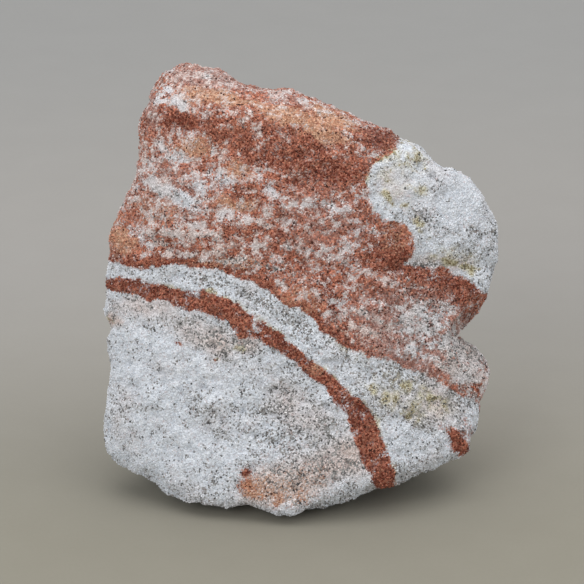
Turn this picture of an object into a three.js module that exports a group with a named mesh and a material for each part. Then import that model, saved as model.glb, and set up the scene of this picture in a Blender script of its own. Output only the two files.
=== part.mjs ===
// A hand-sized piece of banded sandstone, broken from its bed and standing on a small flat base.
// It is one solid: a rough, gently bowed face in front, a bevel along the top of that face,
// and plainer broken sides and back. Millimetres, +X to the right, +Y to the back, +Z up.
import * as THREE from 'three';
import * as BufferGeometryUtils from 'three/addons/utils/BufferGeometryUtils.js';

// Height of the stone's middle above its base
const MIDDLE_HEIGHT = 43.3;

// The outline lies on a plane through the middle that leans back from upright by this angle
const OUTLINE_LEAN = THREE.MathUtils.degToRad(22);

// Corners of the outline on that plane: across and up from the middle, clockwise from the top left
const OUTLINE = [
  [-30.0, 48.6], [-28.6, 49.3], [-26.4, 50.3], [-22.2, 50.4], [-20.4, 49.7], [-16.2, 48.0],
  [-12.4, 45.7], [-8.7, 44.6], [-5.5, 44.4], [-2.4, 44.8], [1.6, 43.1], [6.2, 41.1],
  [12.7, 38.0], [16.2, 36.4], [20.0, 35.5], [22.2, 33.5], [26.2, 32.0], [28.9, 28.9],
  [31.7, 26.8], [33.3, 26.9], [37.3, 25.0], [40.0, 21.3], [42.6, 17.8], [44.5, 13.8],
  [44.6, 11.1], [44.2, 7.1], [42.8, 2.7], [41.7, -1.3], [39.3, -5.1], [36.2, -7.8],
  [34.4, -10.0], [36.0, -11.5], [37.3, -12.2], [40.4, -14.9], [42.0, -18.0], [42.2, -19.3],
  [41.3, -22.2], [40.0, -25.1], [39.1, -30.0], [38.1, -34.4], [37.5, -36.5], [35.9, -37.6],
  [33.3, -38.4], [30.4, -40.0], [26.9, -40.8], [23.5, -42.4], [21.9, -43.5], [16.4, -44.0],
  [12.7, -45.7], [10.4, -46.8], [5.8, -48.0], [1.1, -48.4], [-2.2, -50.0], [-4.4, -49.8],
  [-9.5, -48.2], [-11.1, -47.4], [-13.8, -47.5], [-16.2, -48.6], [-21.8, -47.7], [-24.9, -47.3],
  [-29.3, -46.0], [-32.6, -43.8], [-35.5, -41.3], [-36.9, -41.3], [-40.4, -39.4], [-43.1, -36.9],
  [-43.7, -35.1], [-43.8, -31.1], [-43.7, -27.5], [-42.5, -23.5], [-42.6, -21.9], [-42.0, -16.4],
  [-42.4, -14.7], [-43.4, -11.3], [-42.4, -8.6], [-43.5, -4.2], [-43.5, -0.9], [-43.1, 3.6],
  [-43.1, 7.8], [-43.1, 11.3], [-41.7, 15.3], [-39.5, 19.1], [-37.7, 22.2], [-36.4, 25.5],
  [-35.7, 29.3], [-35.5, 33.7], [-35.4, 38.2], [-33.7, 41.1], [-32.9, 44.4], [-32.0, 46.0],
];

// Broken faces: which way each one looks, as x, y and z, and how far it lies from the middle
const BROKEN_FACES = [
  { name: 'front', looks: [0, -0.961, 0.276], distance: 20.2 },
  { name: 'top bevel', looks: [0.13, -0.361, 0.922], distance: 42.5 },
  { name: 'back', looks: [0.06, 0.99, 0.1], distance: 21.5 },
  { name: 'back of the top', looks: [0.16, 0.84, 0.52], distance: 42.0 },
  { name: 'left flank', looks: [-0.96, 0.26, 0.05], distance: 42.2 },
  { name: 'right flank', looks: [0.96, 0.26, 0.04], distance: 43.4 },
  { name: 'back left corner', looks: [-0.72, 0.68, -0.12], distance: 31.5 },
  { name: 'back right corner', looks: [0.76, 0.64, -0.08], distance: 33.5 },
  { name: 'left underside', looks: [-0.45, 0.1, -0.88], distance: 47.5 },
  { name: 'right underside', looks: [0.5, 0.1, -0.86], distance: 45.0 },
  { name: 'heel', looks: [0.1, 0.55, -0.83], distance: 43.5 },
];

// How crisply the broken faces meet: a higher power gives a sharper edge
const EDGE_POWER = 20;

// Towards the back the outline smooths out and narrows
const BACK_NARROWING = 0.9;
const BACK_SMOOTHING = THREE.MathUtils.degToRad(22);

// The left and right ends of the face bow back by this much at this distance from the middle
const BOW_DEPTH = 16;
const BOW_REACH = 44;

// Hollows and swells of the face, each along a line from one point to another on the outline plane.
// A depth goes into the stone, a negative one stands out of it, and reach is its half width.
const FACE_HOLLOWS = [
  { name: 'groove under the upper right lobe', from: [22, 5.6], to: [45, 5.2], depth: 1.1, reach: 1.8 },
  { name: 'swell of the upper right lobe', from: [30, 16], to: [37, 12], depth: -1.2, reach: 7 },
  { name: 'swell of the lower right lobe', from: [34, -13.6], to: [40, -18.4], depth: -1.5, reach: 3.6 },
  { name: 'pit in the lower right lobe', from: [32.6, -24.4], to: [33, -24], depth: 1.0, reach: 1.7 },
  { name: 'dip left of the middle', from: [-11, -26.6], to: [-4.4, -23.3], depth: 0.9, reach: 2.2 },
  { name: 'pit under the dip', from: [-16, -28.2], to: [-14, -27.4], depth: 0.7, reach: 1.8 },
  { name: 'lower pit', from: [-19, -33.6], to: [-16.6, -32.8], depth: 0.7, reach: 1.8 },
  { name: 'left pit', from: [-24.6, -30.4], to: [-21.6, -29.4], depth: 0.7, reach: 1.8 },
  { name: 'swell of the white corner', from: [-38, -27], to: [-28, -18], depth: -1.1, reach: 6 },
  { name: 'swell along the red band', from: [-20, -2], to: [6, -18], depth: -0.8, reach: 4 },
  { name: 'hollow under the top bevel', from: [-20, 30], to: [4, 25], depth: 0.8, reach: 5 },
];

// Narrow slopes cut off the rim of the face: what lies beyond the line, on its left, falls away
const RIM_SLOPES = [
  { name: 'notch', from: [38.4, -1.4], to: [31.4, -9.8], slope: 1.2 },
  { name: 'lower edge, middle', from: [16.4, -42.6], to: [0.5, -47.2], slope: 1.1 },
  { name: 'lower edge, right', from: [36.4, -35.6], to: [21.4, -39.6], slope: 1.1 },
  { name: 'lower edge, left', from: [-25, -44.6], to: [-42, -35.4], slope: 0.9 },
];
const RIM_SLOPE_DEPTH = 4;

// Ledges of the bedding: thin steps that climb to the right across the face and wrap round the back.
// Over the last share of each bed the surface drops back to the level where the next one starts.
const LEDGE_LOOKS = [-0.42, 0.85, 0.32];
const LEDGE_SPACING = 7.5;
const LEDGE_DROP = 0.3;
const LEDGE_FRONT = 0.3;
const LEDGE_BACK = 1.2;
const LEDGE_WANDER = 8;

// Uneven breaking: spacing and height of the large and the small lumps, on the face and behind it
const LARGE_LUMPS = { spacing: 19, front: 1.0, back: 3.0 };
const SMALL_LUMPS = { spacing: 6.5, front: 0.55, back: 1.1 };

// Fineness of the faceted surface: 20 times the square of this number plus one is its triangles.
// The ball that they start from is first stretched to these half sizes across, up and in depth,
// about those of the stone, so that the triangles come out of like size all over.
const SURFACE_DETAIL = 19;
const BALL_STRETCH = new THREE.Vector3(44, 47, 26);

// Radius of the outline at an angle, by straight steps between its corners
const outlineCorners = OUTLINE.map(([across, up]) => ({
  angle: Math.atan2(up, across),
  radius: Math.hypot(across, up),
})).sort((a, b) => a.angle - b.angle);

function outlineRadius(angle) {
  const turn = 2 * Math.PI;
  const wrapped = Math.atan2(Math.sin(angle), Math.cos(angle));
  const count = outlineCorners.length;
  let next = outlineCorners.findIndex((corner) => corner.angle > wrapped);
  if (next < 0) next = count;
  const before = outlineCorners[(next + count - 1) % count];
  const after = outlineCorners[next % count];
  const start = next === 0 ? before.angle - turn : before.angle;
  const end = next === count ? after.angle + turn : after.angle;
  return THREE.MathUtils.mapLinear(wrapped, start, end, before.radius, after.radius);
}

// The same outline with its small corners averaged away, as it is behind the face
function smoothOutlineRadius(angle) {
  const offsets = [-1, -0.75, -0.5, -0.25, 0, 0.25, 0.5, 0.75, 1];
  const radii = offsets.map((offset) => outlineRadius(angle + offset * BACK_SMOOTHING));
  return radii.reduce((sum, radius) => sum + radius, 0) / radii.length;
}

// Uneven heights from -1 to 1: a chance value at each point of a lattice, blended smoothly between
function chanceValue(i, j, k) {
  const mixed = Math.sin(i * 127.1 + j * 311.7 + k * 74.7) * 43758.5453;
  return mixed - Math.floor(mixed);
}

function lumps(point, spacing) {
  const [x, y, z] = [point.x / spacing, point.y / spacing, point.z / spacing];
  const [i, j, k] = [Math.floor(x), Math.floor(y), Math.floor(z)];
  const ease = (t) => t * t * (3 - 2 * t);
  const [u, v, w] = [ease(x - i), ease(y - j), ease(z - k)];
  let height = 0;
  for (const di of [0, 1]) {
    for (const dj of [0, 1]) {
      for (const dk of [0, 1]) {
        const share = (di ? u : 1 - u) * (dj ? v : 1 - v) * (dk ? w : 1 - w);
        height += share * chanceValue(i + di, j + dj, k + dk);
      }
    }
  }
  return 2 * height - 1;
}

// Distance of a point on the outline plane from the line between two points on it
function distanceToLine(across, up, from, to) {
  const [dx, dy] = [to[0] - from[0], to[1] - from[1]];
  const along = ((across - from[0]) * dx + (up - from[1]) * dy) / (dx * dx + dy * dy);
  const t = THREE.MathUtils.clamp(along, 0, 1);
  return Math.hypot(across - from[0] - t * dx, up - from[1] - t * dy);
}

// How deep the hollows and rim slopes of the face are at a point of the outline plane
function faceRelief(across, up) {
  let depth = 0;
  for (const hollow of FACE_HOLLOWS) {
    const share = distanceToLine(across, up, hollow.from, hollow.to) / hollow.reach;
    depth += hollow.depth * Math.exp(-share * share);
  }
  for (const rim of RIM_SLOPES) {
    const [dx, dy] = [rim.to[0] - rim.from[0], rim.to[1] - rim.from[1]];
    const length = Math.hypot(dx, dy);
    const [rx, ry] = [across - rim.from[0], up - rim.from[1]];
    const along = (rx * dx + ry * dy) / length;
    const beyond = (dx * ry - dy * rx) / length;
    const ends = THREE.MathUtils.smoothstep(along, -2, 1)
      * (1 - THREE.MathUtils.smoothstep(along, length - 1, length + 2));
    depth += rim.slope * ends * THREE.MathUtils.clamp(beyond, 0, RIM_SLOPE_DEPTH);
  }
  return depth;
}

// Height of the bedding ledges at a point: a slow rise and a quick drop at each bed
const ledgeDirection = new THREE.Vector3(...LEDGE_LOOKS).normalize();
function ledgeHeight(point) {
  const wander = LEDGE_WANDER * lumps(point, 2 * LARGE_LUMPS.spacing);
  const beds = (point.dot(ledgeDirection) + wander) / LEDGE_SPACING;
  const rise = beds - Math.floor(beds);
  return Math.min(rise / (1 - LEDGE_DROP), (1 - rise) / LEDGE_DROP) - 0.5;
}

// From across, up and depth on the outline plane to x, y and z about the stone's middle
function fromOutlinePlane(across, up, depth) {
  const [sine, cosine] = [Math.sin(OUTLINE_LEAN), Math.cos(OUTLINE_LEAN)];
  return new THREE.Vector3(across, up * sine + depth * cosine, up * cosine - depth * sine);
}

// Distance from the middle to the surface in a direction: the outline and the broken faces,
// joined by a power sum, which rounds the edges where two of them meet
const facePlanes = BROKEN_FACES.map(({ looks, distance }) => ({
  normal: new THREE.Vector3(...looks).normalize(),
  distance,
}));
function surfaceDistance(across, up, depth) {
  const angle = Math.atan2(up, across);
  const backward = THREE.MathUtils.smoothstep(depth, 0, 0.5);
  const sharp = outlineRadius(angle);
  const smooth = Math.min(sharp, BACK_NARROWING * smoothOutlineRadius(angle));
  const direction = fromOutlinePlane(across, up, depth);
  const rim = Math.hypot(across, up) / THREE.MathUtils.lerp(sharp, smooth, backward);
  let total = rim ** EDGE_POWER;
  for (const { normal, distance } of facePlanes) {
    total += Math.max(0, normal.dot(direction) / distance) ** EDGE_POWER;
  }
  return total ** (-1 / EDGE_POWER);
}

// The surface point in a direction (across, up and depth, as parts of one), with the bow,
// the relief, the ledges and the lumps put on
function surfacePoint(directionAcross, directionUp, directionDepth) {
  const reach = surfaceDistance(directionAcross, directionUp, directionDepth);
  const [across, up] = [reach * directionAcross, reach * directionUp];
  const straightDepth = reach * directionDepth;
  const front = THREE.MathUtils.smoothstep(-directionDepth, 0.02, 0.3);
  const back = THREE.MathUtils.smoothstep(directionDepth, -0.05, 0.35);
  const raw = new THREE.Vector3(across, up, straightDepth);
  const large = lumps(raw, LARGE_LUMPS.spacing);
  const small = lumps(raw, SMALL_LUMPS.spacing);
  const ledge = ledgeHeight(raw);
  const frontHeight = LARGE_LUMPS.front * large + SMALL_LUMPS.front * small + LEDGE_FRONT * ledge;
  const backHeight = LARGE_LUMPS.back * large + SMALL_LUMPS.back * small + LEDGE_BACK * ledge;
  const unbowed = THREE.MathUtils.smoothstep(directionDepth, -0.3, 0.25);
  const bow = BOW_DEPTH * (across / BOW_REACH) ** 2 * (1 - unbowed);
  const depth = straightDepth + bow + front * (faceRelief(across, up) - frontHeight);
  const point = fromOutlinePlane(across, up, depth);
  point.setLength(point.length() + back * backHeight);
  return point;
}

// The flat base: what would reach below it is pulled back onto it, towards the middle
function standOnBase(point) {
  if (point.z < -MIDDLE_HEIGHT) point.multiplyScalar(MIDDLE_HEIGHT / -point.z).setZ(-MIDDLE_HEIGHT);
  return point.setZ(point.z + MIDDLE_HEIGHT);
}

function stoneGeometry() {
  const ball = new THREE.IcosahedronGeometry(1, SURFACE_DETAIL);
  ball.deleteAttribute('normal');
  ball.deleteAttribute('uv');
  const geometry = BufferGeometryUtils.mergeVertices(ball, 1e-5);
  const positions = geometry.attributes.position;
  const direction = new THREE.Vector3();
  for (let index = 0; index < positions.count; index += 1) {
    direction.fromBufferAttribute(positions, index).multiply(BALL_STRETCH).normalize();
    const point = standOnBase(surfacePoint(direction.x, direction.y, -direction.z));
    positions.setXYZ(index, point.x, point.y, point.z);
  }
  geometry.computeVertexNormals();
  return geometry;
}

const sandstone = new THREE.MeshStandardMaterial({ color: 0xc9b8ae, roughness: 0.95, metalness: 0 });
const stone = new THREE.Mesh(stoneGeometry(), sandstone);
stone.name = 'stone';

const specimen = new THREE.Group();
specimen.add(stone);

export default specimen;
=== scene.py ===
import math
import bpy
import numpy as np
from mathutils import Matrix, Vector


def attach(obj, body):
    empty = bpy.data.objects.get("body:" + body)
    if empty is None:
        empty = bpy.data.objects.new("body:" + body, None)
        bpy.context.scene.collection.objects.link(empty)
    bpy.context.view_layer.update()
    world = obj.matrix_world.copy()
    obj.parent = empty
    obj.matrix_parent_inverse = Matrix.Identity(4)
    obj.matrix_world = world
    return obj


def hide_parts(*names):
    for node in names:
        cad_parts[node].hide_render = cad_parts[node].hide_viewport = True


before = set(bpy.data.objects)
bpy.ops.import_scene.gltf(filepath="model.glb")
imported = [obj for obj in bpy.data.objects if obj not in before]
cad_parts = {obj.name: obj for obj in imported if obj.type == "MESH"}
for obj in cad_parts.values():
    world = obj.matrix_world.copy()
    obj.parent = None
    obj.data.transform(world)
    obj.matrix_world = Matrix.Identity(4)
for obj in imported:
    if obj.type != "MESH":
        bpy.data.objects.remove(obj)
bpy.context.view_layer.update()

# The stone: one natural piece of banded sandstone, as wide as a hand, broken from its bed.
# It is quartz sand held by a thin cement. Its surface repeats the solid's form on a fine grid:
# the outline of the face, cut by eleven broken faces, then bowed, hollowed, ledged and crumbled.
MILLIMETRE = 0.001
MIDDLE_HEIGHT = 43.3
OUTLINE_LEAN = math.radians(22)
OUTLINE = np.array([
    (-30.0, 48.6), (-28.6, 49.3), (-26.4, 50.3), (-22.2, 50.4), (-20.4, 49.7), (-16.2, 48.0),
    (-12.4, 45.7), (-8.7, 44.6), (-5.5, 44.4), (-2.4, 44.8), (1.6, 43.1), (6.2, 41.1),
    (12.7, 38.0), (16.2, 36.4), (20.0, 35.5), (22.2, 33.5), (26.2, 32.0), (28.9, 28.9),
    (31.7, 26.8), (33.3, 26.9), (37.3, 25.0), (40.0, 21.3), (42.6, 17.8), (44.5, 13.8),
    (44.6, 11.1), (44.2, 7.1), (42.8, 2.7), (41.7, -1.3), (39.3, -5.1), (36.2, -7.8),
    (34.4, -10.0), (36.0, -11.5), (37.3, -12.2), (40.4, -14.9), (42.0, -18.0), (42.2, -19.3),
    (41.3, -22.2), (40.0, -25.1), (39.1, -30.0), (38.1, -34.4), (37.5, -36.5), (35.9, -37.6),
    (33.3, -38.4), (30.4, -40.0), (26.9, -40.8), (23.5, -42.4), (21.9, -43.5), (16.4, -44.0),
    (12.7, -45.7), (10.4, -46.8), (5.8, -48.0), (1.1, -48.4), (-2.2, -50.0), (-4.4, -49.8),
    (-9.5, -48.2), (-11.1, -47.4), (-13.8, -47.5), (-16.2, -48.6), (-21.8, -47.7), (-24.9, -47.3),
    (-29.3, -46.0), (-32.6, -43.8), (-35.5, -41.3), (-36.9, -41.3), (-40.4, -39.4), (-43.1, -36.9),
    (-43.7, -35.1), (-43.8, -31.1), (-43.7, -27.5), (-42.5, -23.5), (-42.6, -21.9), (-42.0, -16.4),
    (-42.4, -14.7), (-43.4, -11.3), (-42.4, -8.6), (-43.5, -4.2), (-43.5, -0.9), (-43.1, 3.6),
    (-43.1, 7.8), (-43.1, 11.3), (-41.7, 15.3), (-39.5, 19.1), (-37.7, 22.2), (-36.4, 25.5),
    (-35.7, 29.3), (-35.5, 33.7), (-35.4, 38.2), (-33.7, 41.1), (-32.9, 44.4), (-32.0, 46.0),
])
# Each broken face: which way it looks, as x, y and z, and its distance from the middle
BROKEN_FACES = {
    "front": ((0, -0.961, 0.276), 20.2),
    "top bevel": ((0.13, -0.361, 0.922), 42.5),
    "back": ((0.06, 0.99, 0.1), 21.5),
    "back of the top": ((0.16, 0.84, 0.52), 42.0),
    "left flank": ((-0.96, 0.26, 0.05), 42.2),
    "right flank": ((0.96, 0.26, 0.04), 43.4),
    "back left corner": ((-0.72, 0.68, -0.12), 31.5),
    "back right corner": ((0.76, 0.64, -0.08), 33.5),
    "left underside": ((-0.45, 0.1, -0.88), 47.5),
    "right underside": ((0.5, 0.1, -0.86), 45.0),
    "heel": ((0.1, 0.55, -0.83), 43.5),
}
EDGE_POWER = 20
BACK_NARROWING = 0.9
BACK_SMOOTHING = math.radians(22)
BOW_DEPTH = 16
BOW_REACH = 44
# Each hollow of the face: where its line starts and ends, its depth (negative stands out), its reach
FACE_HOLLOWS = {
    "groove under the upper right lobe": ((22, 5.6), (45, 5.2), 1.1, 1.8),
    "swell of the upper right lobe": ((30, 16), (37, 12), -1.2, 7),
    "swell of the lower right lobe": ((34, -13.6), (40, -18.4), -1.5, 3.6),
    "pit in the lower right lobe": ((32.6, -24.4), (33, -24), 1.0, 1.7),
    "dip left of the middle": ((-11, -26.6), (-4.4, -23.3), 0.9, 2.2),
    "pit under the dip": ((-16, -28.2), (-14, -27.4), 0.7, 1.8),
    "lower pit": ((-19, -33.6), (-16.6, -32.8), 0.7, 1.8),
    "left pit": ((-24.6, -30.4), (-21.6, -29.4), 0.7, 1.8),
    "swell of the white corner": ((-38, -27), (-28, -18), -1.1, 6),
    "swell along the red band": ((-20, -2), (6, -18), -0.8, 4),
    "hollow under the top bevel": ((-20, 30), (4, 25), 0.8, 5),
}
# Each slope of the rim: where its line starts and ends, and how steeply what lies beyond it falls away
RIM_SLOPES = {
    "notch": ((38.4, -1.4), (31.4, -9.8), 1.2),
    "lower edge, middle": ((16.4, -42.6), (0.5, -47.2), 1.1),
    "lower edge, right": ((36.4, -35.6), (21.4, -39.6), 1.1),
    "lower edge, left": ((-25, -44.6), (-42, -35.4), 0.9),
}
RIM_SLOPE_DEPTH = 4
# How far a direction points back, or for the face front, where each change starts and where it is whole:
# the outline loses its corners, the face's own relief begins, the back's begins, and the bow ends
OUTLINE_SMOOTHS, FACE_BEGINS, BACK_BEGINS, BOW_ENDS = (0, 0.5), (0.02, 0.3), (-0.05, 0.35), (-0.3, 0.25)
LEDGE_LOOKS = np.array((-0.42, 0.85, 0.32))
LEDGE_SPACING = 7.5
LEDGE_DROP = 0.3
LEDGE_FRONT = 0.3
LEDGE_BACK = 1.2
LEDGE_WANDER = 8
LARGE_SPACING, LARGE_FRONT, LARGE_BACK = 19, 1.0, 3.0
SMALL_SPACING, SMALL_FRONT, SMALL_BACK = 6.5, 0.55, 1.1
# Crumbling too fine for the solid: spacing and height of each size of crumb
CRUMBS = ((3.6, 0.45), (1.8, 0.36), (0.9, 0.2))
PORE_SPACING, PORE_SHARE, PORE_DEPTH = 2.3, 0.42, 1.8
# The skin lies this far under the solid, so that its crumbs and grains end at the outline
SKIN_INSET = 0.35
# The grid: a box of about the stone's half sizes across, up and in depth, and its steps along each
BOX_HALF_SIZES = np.array((42.0, 46.0, 20.0))
BOX_STEPS = (170, 184, 50)
# Where each side of the box lies on the skin's flat map, as left, foot, width and height. The order is
# left, right, bottom, top, face and back, and the face gets the most room.
MAP_PLACES = np.array([
    (0, 0, 0.49, 0.17), (0.5, 0, 0.49, 0.17), (0, 0.18, 0.49, 0.17), (0.5, 0.18, 0.49, 0.17),
    (0, 0.36, 0.58, 0.63), (0.59, 0.36, 0.4, 0.63),
])


def outline_radius(angle):
    """Distance of the outline from the middle at an angle, by straight steps between its corners."""
    corner_angles = np.arctan2(OUTLINE[:, 1], OUTLINE[:, 0])
    return np.interp(angle, corner_angles, np.hypot(*OUTLINE.T), period=2 * math.pi)


def smooth_outline_radius(angle):
    """The mean of nine outline radii spread evenly over the smoothing angle to each side."""
    return sum(outline_radius(angle + step * BACK_SMOOTHING) for step in np.linspace(-1, 1, 9)) / 9


def smoothstep(value, low, high):
    """0 below low, 1 above high, and 3t^2 - 2t^3 between them."""
    t = np.clip((value - low) / (high - low), 0, 1)
    return t * t * (3 - 2 * t)


def lumps(points, spacing):
    """Uneven heights from -1 to 1. Each lattice point has a chance value, the fraction of a large sine,
    and the eight round a point are blended by 3t^2 - 2t^3 along each axis."""
    cell = np.floor(points / spacing)
    t = points / spacing - cell
    ease = t * t * (3 - 2 * t)
    height = np.zeros(len(points))
    for corner in np.ndindex(2, 2, 2):
        share = np.prod(np.where(corner, ease, 1 - ease), axis=1)
        mixed = np.sin((cell + corner) @ np.array((127.1, 311.7, 74.7))) * 43758.5453
        height += share * (mixed - np.floor(mixed))
    return 2 * height - 1


def face_relief(across, up):
    """Depth of the face at a point: for each hollow, its depth times exp(-(distance / reach)^2) from its
    line, and for each rim slope, its steepness times the distance beyond its line, on its left."""
    depth = np.zeros(len(across))
    for start, end, hollow_depth, reach in FACE_HOLLOWS.values():
        dx, dy = np.subtract(end, start)
        t = np.clip(((across - start[0]) * dx + (up - start[1]) * dy) / (dx * dx + dy * dy), 0, 1)
        distance = np.hypot(across - start[0] - t * dx, up - start[1] - t * dy)
        depth += hollow_depth * np.exp(-((distance / reach) ** 2))
    for start, end, slope in RIM_SLOPES.values():
        dx, dy = np.subtract(end, start)
        length = math.hypot(dx, dy)
        rx, ry = across - start[0], up - start[1]
        along = (rx * dx + ry * dy) / length
        beyond = (dx * ry - dy * rx) / length
        ends = smoothstep(along, -2, 1) * (1 - smoothstep(along, length - 1, length + 2))
        depth += slope * ends * np.clip(beyond, 0, RIM_SLOPE_DEPTH)
    return depth


def ledge_height(points):
    """A slow rise over most of each bed and a quick drop over its last share, from -0.5 to 0.5. The beds
    are counted along one direction, and lumps make them wander."""
    direction = LEDGE_LOOKS / np.linalg.norm(LEDGE_LOOKS)
    beds = (points @ direction + LEDGE_WANDER * lumps(points, 2 * LARGE_SPACING)) / LEDGE_SPACING
    rise = beds - np.floor(beds)
    return np.minimum(rise / (1 - LEDGE_DROP), (1 - rise) / LEDGE_DROP) - 0.5


def turn_by_lean(place):
    """Turns across, up and depth on the outline plane into x, y and z about the middle: y is up times the
    lean's sine plus depth times its cosine, and z is up times the cosine less depth times the sine. The
    same formula turns x, y and z back into across, up and depth."""
    across, up, depth = place.T
    sine, cosine = math.sin(OUTLINE_LEAN), math.cos(OUTLINE_LEAN)
    return np.stack((across, up * sine + depth * cosine, up * cosine - depth * sine), axis=1)


def surface_distance(direction):
    """Distance from the middle to the surface: (sum of a^n)^(-1/n), where a is the direction's reach over
    the outline's radius, or its part along a broken face's normal over that face's distance."""
    across, up, depth = direction.T
    angle = np.arctan2(up, across)
    backward = smoothstep(depth, *OUTLINE_SMOOTHS)
    sharp = outline_radius(angle)
    smooth = np.minimum(sharp, BACK_NARROWING * smooth_outline_radius(angle))
    total = (np.hypot(across, up) / (sharp + (smooth - sharp) * backward)) ** EDGE_POWER
    turned = turn_by_lean(direction)
    for looks, distance in BROKEN_FACES.values():
        normal = np.array(looks) / np.linalg.norm(looks)
        total += np.maximum(0, turned @ normal / distance) ** EDGE_POWER
    return total ** (-1 / EDGE_POWER)


def stone_points(box_points):
    """Carries points of the box onto the stone: out along their direction to the surface distance, then
    bowed, hollowed and ledged in depth on the face, and lumpy along the direction behind it."""
    direction = box_points / np.linalg.norm(box_points, axis=1, keepdims=True)
    place = direction * surface_distance(direction)[:, None]
    across, up, depth = place.T
    front = smoothstep(-direction[:, 2], *FACE_BEGINS)
    back = smoothstep(direction[:, 2], *BACK_BEGINS)
    unbowed = smoothstep(direction[:, 2], *BOW_ENDS)
    large, small, ledge = lumps(place, LARGE_SPACING), lumps(place, SMALL_SPACING), ledge_height(place)
    front_height = LARGE_FRONT * large + SMALL_FRONT * small + LEDGE_FRONT * ledge
    back_height = LARGE_BACK * large + SMALL_BACK * small + LEDGE_BACK * ledge
    bow = BOW_DEPTH * (across / BOW_REACH) ** 2 * (1 - unbowed)
    sunk = depth + bow + front * (face_relief(across, up) - front_height)
    points = turn_by_lean(np.stack((across, up, sunk), axis=1))
    length = np.linalg.norm(points, axis=1, keepdims=True)
    points *= (length + (back * back_height)[:, None]) / length
    below = points[:, 2] < -MIDDLE_HEIGHT
    points[below] *= -MIDDLE_HEIGHT / points[below, 2:]
    return points + (0, 0, MIDDLE_HEIGHT)


def box_surface(steps, half_sizes):
    """Points and four-sided faces of a box, and where the corners of each face lie on its flat map. Each
    side is a grid of two parameters, its steps along two axes, and neighbouring sides share the points of
    their common edge."""
    inside = np.zeros([step + 1 for step in steps], bool)
    inside[1:-1, 1:-1, 1:-1] = True
    number = (np.cumsum(~inside) - 1).reshape(inside.shape)
    points = (np.argwhere(~inside) / steps * 2 - 1) * half_sizes
    faces, flat = [], []
    for axis in range(3):
        for end in (0, -1):
            side = np.take(number, end, axis=axis)
            corners = (side[:-1, :-1], side[1:, :-1], side[1:, 1:], side[:-1, 1:])
            quads = np.stack(corners, axis=-1).reshape(-1, 4)
            inward = (end == -1) != (axis == 1)
            left, foot, width, height = MAP_PLACES[len(faces)]
            faces.append(quads[:, ::-1] if inward else quads)
            share = np.delete(points[faces[-1]] / half_sizes + 1, axis, axis=2) / 2
            flat.append((left, foot) + share * (width, height))
    return points, np.concatenate(faces), np.concatenate(flat)


def point_normals(points, faces):
    """Mean outward direction at each point: the sum over its faces of the cross product of the diagonals."""
    a, b, c, d = points[faces].transpose(1, 0, 2)
    face_normals = np.cross(c - a, d - b)
    total = np.zeros_like(points)
    for corner in faces.T:
        np.add.at(total, corner, face_normals)
    return total / np.linalg.norm(total, axis=1, keepdims=True)


def mesh_piece(name, points, faces, material):
    """An object at the origin with this mesh, given in millimetres, and one material."""
    mesh = bpy.data.meshes.new(name)
    mesh.from_pydata(points * MILLIMETRE, [], faces)
    mesh.materials.append(material)
    piece = bpy.data.objects.new(name, mesh)
    bpy.context.collection.objects.link(piece)
    return piece


def lay_flat(piece, places):
    """Gives a piece its own flat map: where each corner of each of its faces lies on a square."""
    piece.data.uv_layers.new(name="OFBake").uv.foreach_set("vector", places.astype(np.float32).ravel())


box_points, stone_faces, stone_map = box_surface(BOX_STEPS, BOX_HALF_SIZES)
coarse_points = stone_points(box_points)
coarse_normals = point_normals(coarse_points, stone_faces)
crumble = sum(height * lumps(coarse_points, spacing) for spacing, height in CRUMBS)
pores = np.maximum(0, lumps(coarse_points + 31, PORE_SPACING) - PORE_SHARE) * PORE_DEPTH
stone_surface = coarse_points + coarse_normals * (crumble - pores - SKIN_INSET)[:, None]
stone_surface[:, 2] = np.maximum(stone_surface[:, 2], 0)

# The stone's finish: every grain of sand has one colour. Iron has stained whole beds of grains rust
# red, tan and maroon, left others bluish white or beige, and dark specks lie between them all. These
# specks are partly dark grains and partly painted shade of the pits between grains.
GRAIN_SIZE = 0.42
BEDS_DIP = math.radians(38)
BACKWARD_DIP = 0.15
PATCH_THICKNESS = 22
# Lower edge of the large red bed, across and up on the outline plane
RED_BED_LOWER = (
    (-43.1, 6.7), (-39.7, 6.2), (-38.0, 5.3), (-35.3, 4.8), (-32.9, 5.3), (-26.4, 5.5),
    (-23.3, 5.1), (-17.3, 4.4), (-15.3, 3.6), (-13.5, 2.2), (-11.3, 2.0), (-9.1, 0.9),
    (-7.5, -0.2), (-4.2, -2.4), (-2.0, -4.0), (-0.4, -3.6), (2.4, -5.8), (4.3, -8.7),
    (7.4, -10.4), (10.2, -12.7), (13.3, -14.2), (17.1, -15.1), (20.2, -15.3), (22.6, -17.0),
    (26.8, -18.2), (31.1, -20.9), (37.7, -24.4),
)
# Upper and lower edge of the thin red band below it
THIN_BAND_UPPER = (
    (-43.1, 3.0), (-40.0, 3.1), (-36.0, 2.4), (-33.5, 1.6), (-30.9, 1.3), (-29.1, 0.2),
    (-22.0, 0.0), (-18.6, -1.1), (-15.8, -2.0), (-13.1, -3.2), (-10.0, -5.7), (-7.5, -7.5),
    (-4.2, -9.8), (-1.3, -12.0), (1.3, -14.7), (4.0, -16.4), (6.4, -18.2), (10.2, -21.5),
    (14.5, -25.1), (16.9, -28.2), (17.7, -31.3), (18.6, -34.6), (20.0, -37.5), (21.1, -39.3),
    (21.3, -44.4),
)
THIN_BAND_LOWER = (
    (-43.1, 0.2), (-40.0, -0.2), (-36.0, -1.6), (-33.5, -2.9), (-30.9, -2.4), (-29.1, -2.7),
    (-25.3, -4.4), (-22.0, -5.1), (-18.6, -5.8), (-15.8, -6.7), (-13.1, -10.7), (-10.0, -10.9),
    (-7.5, -11.8), (-4.2, -14.0), (-1.3, -15.8), (0.7, -18.2), (5.3, -21.1), (7.1, -24.4),
    (10.0, -26.9), (10.9, -30.0), (11.8, -33.1), (13.5, -37.1), (14.9, -40.0), (16.2, -42.4),
    (16.9, -44.8),
)
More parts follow.
